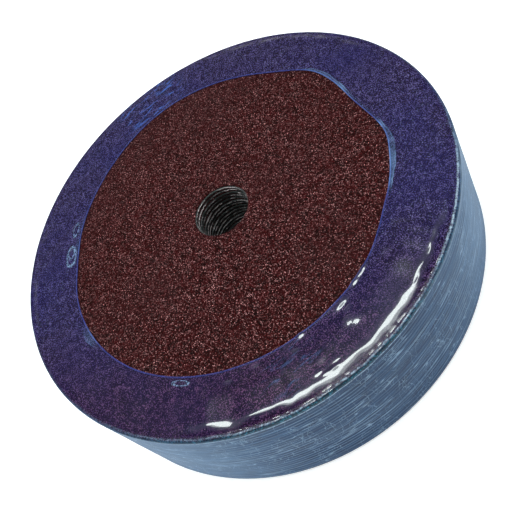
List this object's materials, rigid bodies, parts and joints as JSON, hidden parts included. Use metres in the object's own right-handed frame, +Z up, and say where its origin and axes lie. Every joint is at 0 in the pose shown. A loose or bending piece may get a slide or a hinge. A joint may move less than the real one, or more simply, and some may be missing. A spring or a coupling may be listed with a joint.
{
  "type": "pack of abrasive fibre discs",
  "caption": "Shrink-wrapped stack of round abrasive fibre discs with one through arbor hole, held by a tinted film sleeve that folds over both rims.",
  "frame": {"origin": "centre of the underside, on the bore's axis", "axes": "+Z up along the bore's axis, grain sides up; X and Y lie in the plane of the discs"},
  "size_m": [0.1808, 0.1808, 0.0467],
  "materials": {
    "abrasive_coat": "rough brown aluminium oxide grain in resin",
    "fibre_backing": "vulcanised fibre, matt with a pale punched edge",
    "shrink_film": "thin glossy blue-tinted shrink film, see-through"
  },
  "bodies": {
    "root": {"disc_01_backing": "fibre_backing", "disc_01_grit": "abrasive_coat", "disc_02_backing": "fibre_backing", "disc_02_grit": "abrasive_coat", "disc_03_backing": "fibre_backing", "disc_03_grit": "abrasive_coat", "disc_04_backing": "fibre_backing", "disc_04_grit": "abrasive_coat", "disc_05_backing": "fibre_backing", "disc_05_grit": "abrasive_coat", "disc_06_backing": "fibre_backing", "disc_06_grit": "abrasive_coat", "disc_07_backing": "fibre_backing", "disc_07_grit": "abrasive_coat", "disc_08_backing": "fibre_backing", "disc_08_grit": "abrasive_coat", "disc_09_backing": "fibre_backing", "disc_09_grit": "abrasive_coat", "disc_10_backing": "fibre_backing", "disc_10_grit": "abrasive_coat", "disc_11_backing": "fibre_backing", "disc_11_grit": "abrasive_coat", "disc_12_backing": "fibre_backing", "disc_12_grit": "abrasive_coat", "disc_13_backing": "fibre_backing", "disc_13_grit": "abrasive_coat", "disc_14_backing": "fibre_backing", "disc_14_grit": "abrasive_coat", "disc_15_backing": "fibre_backing", "disc_15_grit": "abrasive_coat", "disc_16_backing": "fibre_backing", "disc_16_grit": "abrasive_coat", "disc_17_backing": "fibre_backing", "disc_17_grit": "abrasive_coat", "disc_18_backing": "fibre_backing", "disc_18_grit": "abrasive_coat", "disc_19_backing": "fibre_backing", "disc_19_grit": "abrasive_coat", "disc_20_backing": "fibre_backing", "disc_20_grit": "abrasive_coat", "disc_21_backing": "fibre_backing", "disc_21_grit": "abrasive_coat", "disc_22_backing": "fibre_backing", "disc_22_grit": "abrasive_coat", "disc_23_backing": "fibre_backing", "disc_23_grit": "abrasive_coat", "disc_24_backing": "fibre_backing", "disc_24_grit": "abrasive_coat", "disc_25_backing": "fibre_backing", "disc_25_grit": "abrasive_coat", "shrink_film": "shrink_film"}
  },
  "joints": []
}
